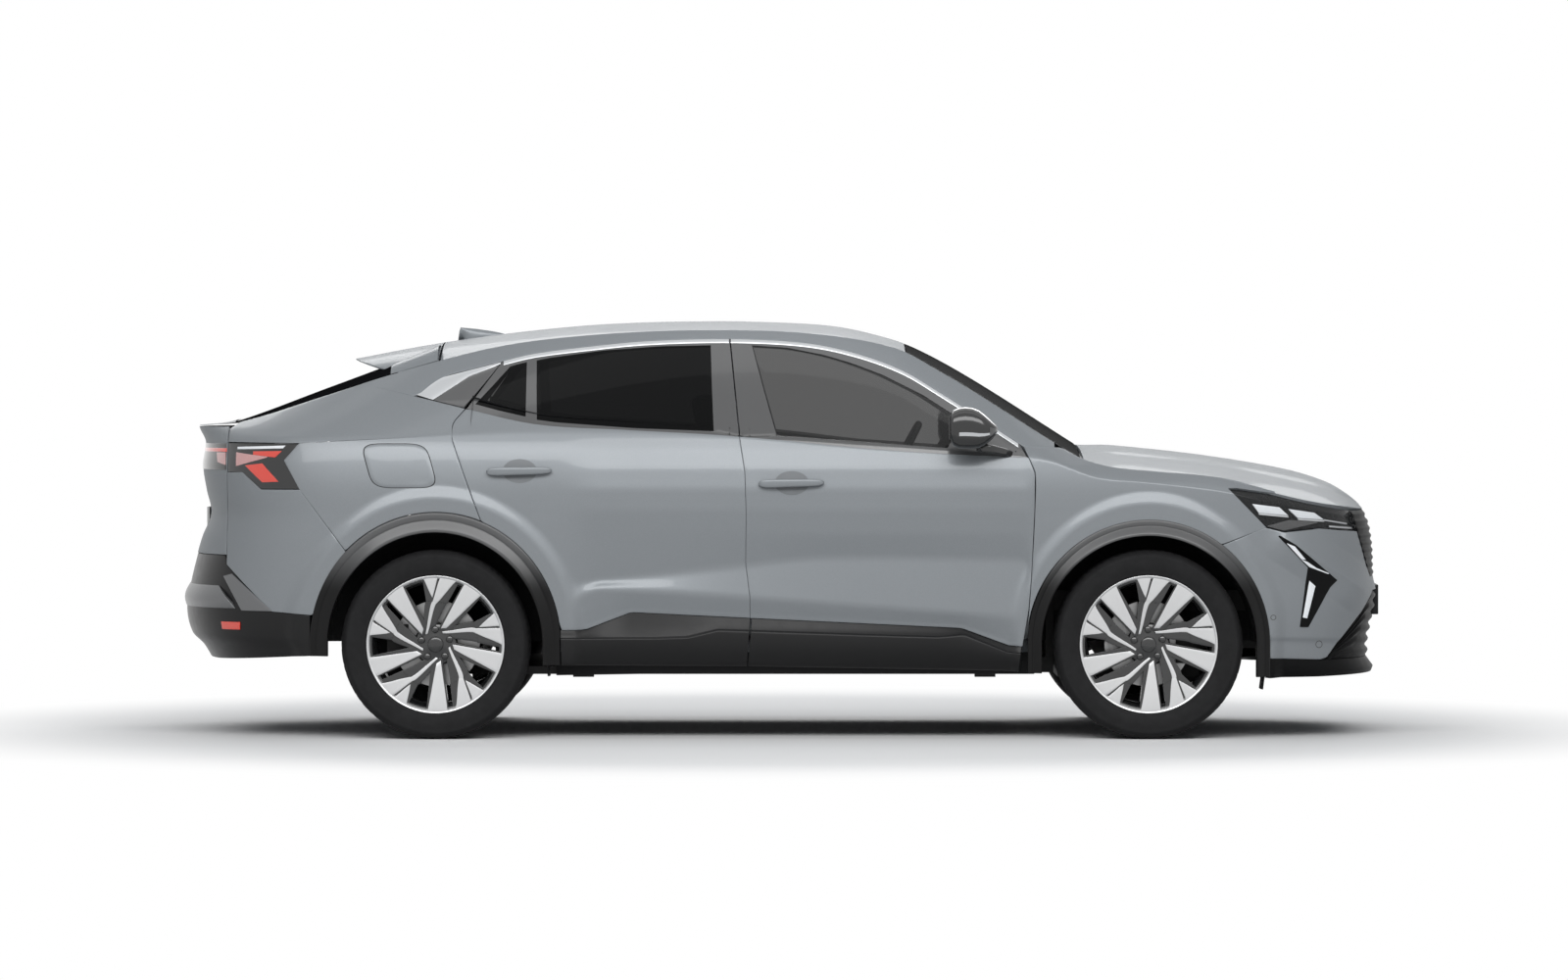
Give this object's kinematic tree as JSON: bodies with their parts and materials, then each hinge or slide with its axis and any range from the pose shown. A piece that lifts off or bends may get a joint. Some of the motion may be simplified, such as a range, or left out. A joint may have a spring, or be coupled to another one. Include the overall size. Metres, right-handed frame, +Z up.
{
  "type": "coupe sport utility vehicle",
  "caption": "Five-door coupe sport utility vehicle with opening doors, bonnet and tailgate, steered front wheels, alloy rims and a hollow cabin with seats.",
  "frame": {"origin": "on the ground under the middle of the car's length, on its centre plane", "axes": "+X forward to the nose, +Y to the car's left, +Z up"},
  "size_m": [4.7101, 2.1454, 1.6125],
  "materials": {
    "chassis_metal": "cast and pressed, dull",
    "body_paint": "metallic paint under clear coat",
    "clear_glass": "lightly tinted",
    "dark_glass": "dark tinted",
    "black_plastic": "grained black",
    "gloss_black": "gloss black",
    "lamp_clear": "clear cover over bright reflectors",
    "lamp_red": "red lens",
    "cabin_plastic": "soft-touch black",
    "seat_fabric": "woven",
    "tyre_rubber": "dull rubber",
    "alloy": "machined faces over black",
    "disc_steel": "machined"
  },
  "bodies": {
    "body": {"floor_pan": "chassis_metal", "body_side_left": "body_paint", "body_side_right": "body_paint", "roof_panel": "body_paint", "windscreen": "clear_glass", "fenders": "body_paint", "wheel_liners": "black_plastic", "arch_cladding": "black_plastic", "front_bumper": "body_paint", "front_valance": "black_plastic", "grille": "gloss_black", "headlamps": "lamp_clear", "rear_bumper": "body_paint", "rear_valance": "black_plastic", "tail_lamps": "lamp_red", "engine": "chassis_metal", "front_subframe": "chassis_metal", "rear_axle": "chassis_metal", "dashboard": "cabin_plastic", "seats": "seat_fabric"},
    "steering_wheel": {"steering_wheel": "cabin_plastic"},
    "bonnet": {"bonnet": "body_paint"},
    "tailgate": {"tailgate": "body_paint", "tailgate_glass": "dark_glass"},
    "fuel_flap": {"fuel_flap": "body_paint"},
    "door_front_left": {"front_door_left": "body_paint", "front_glass_left": "clear_glass", "front_cladding_left": "black_plastic", "mirror_left": "gloss_black"},
    "door_front_right": {"front_door_right": "body_paint", "front_glass_right": "clear_glass", "front_cladding_right": "black_plastic", "mirror_right": "gloss_black"},
    "door_rear_left": {"rear_door_left": "body_paint", "rear_glass_left": "dark_glass", "rear_cladding_left": "black_plastic"},
    "door_rear_right": {"rear_door_right": "body_paint", "rear_glass_right": "dark_glass", "rear_cladding_right": "black_plastic"},
    "upright_left": {"upright_left": "chassis_metal"},
    "upright_right": {"upright_right": "chassis_metal"},
    "wheel_front_left": {"tyre_front_left": "tyre_rubber", "rim_front_left": "alloy", "disc_front_left": "disc_steel"},
    "wheel_front_right": {"tyre_front_right": "tyre_rubber", "rim_front_right": "alloy", "disc_front_right": "disc_steel"},
    "wheel_rear_left": {"tyre_rear_left": "tyre_rubber", "rim_rear_left": "alloy", "disc_rear_left": "disc_steel"},
    "wheel_rear_right": {"tyre_rear_right": "tyre_rubber", "rim_rear_right": "alloy", "disc_rear_right": "disc_steel"}
  },
  "joints": [
    {"name": "steer_left", "type": "hinge", "parent": "body", "child": "upright_left", "pos_m": [1.4, 0.73, 0.364], "axis": [0, 0, 1], "range_deg": [-35, 35]},
    {"name": "steer_right", "type": "hinge", "parent": "body", "child": "upright_right", "pos_m": [1.4, -0.73, 0.364], "axis": [0, 0, 1], "range_deg": [-35, 35]},
    {"name": "spin_front_left", "type": "hinge", "parent": "upright_left", "child": "wheel_front_left", "pos_m": [1.4, 0.8, 0.364], "axis": [0, 1, 0], "continuous": true},
    {"name": "spin_front_right", "type": "hinge", "parent": "upright_right", "child": "wheel_front_right", "pos_m": [1.4, -0.8, 0.364], "axis": [0, 1, 0], "continuous": true},
    {"name": "spin_rear_left", "type": "hinge", "parent": "body", "child": "wheel_rear_left", "pos_m": [-1.338, 0.8, 0.364], "axis": [0, 1, 0], "continuous": true},
    {"name": "spin_rear_right", "type": "hinge", "parent": "body", "child": "wheel_rear_right", "pos_m": [-1.338, -0.8, 0.364], "axis": [0, 1, 0], "continuous": true},
    {"name": "steering_wheel_turn", "type": "hinge", "parent": "body", "child": "steering_wheel", "pos_m": [0.461, 0.37, 1.051], "axis": [-0.8829, 0, 0.4695], "range_deg": [-490, 490]},
    {"name": "door_front_left_hinge", "type": "hinge", "parent": "body", "child": "door_front_left", "pos_m": [0.964, 0.931, 0.7], "axis": [0, 0, -1], "range_deg": [0, 65]},
    {"name": "door_front_right_hinge", "type": "hinge", "parent": "body", "child": "door_front_right", "pos_m": [0.964, -0.931, 0.7], "axis": [0, 0, 1], "range_deg": [0, 65]},
    {"name": "door_rear_left_hinge", "type": "hinge", "parent": "body", "child": "door_rear_left", "pos_m": [-0.106, 0.931, 0.7], "axis": [0, 0, -1], "range_deg": [0, 65]},
    {"name": "door_rear_right_hinge", "type": "hinge", "parent": "body", "child": "door_rear_right", "pos_m": [-0.106, -0.931, 0.7], "axis": [0, 0, 1], "range_deg": [0, 65]},
    {"name": "bonnet_hinge", "type": "hinge", "parent": "body", "child": "bonnet", "pos_m": [1.152, 0, 1.13], "axis": [0, -1, 0], "range_deg": [0, 50]},
    {"name": "tailgate_hinge", "type": "hinge", "parent": "body", "child": "tailgate", "pos_m": [-1.338, 0, 1.53], "axis": [0, 1, 0], "range_deg": [0, 75]},
    {"name": "fuel_flap_hinge", "type": "hinge", "parent": "body", "child": "fuel_flap", "pos_m": [-1.33, -0.931, 1.05], "axis": [0, 0, 1], "range_deg": [0, 95]}
  ],
  "couplings": [
    {"joint": "steer_right", "follows": "steer_left", "ratio": 1},
    {"joint": "steering_wheel_turn", "follows": "steer_left", "ratio": 14}
  ]
}
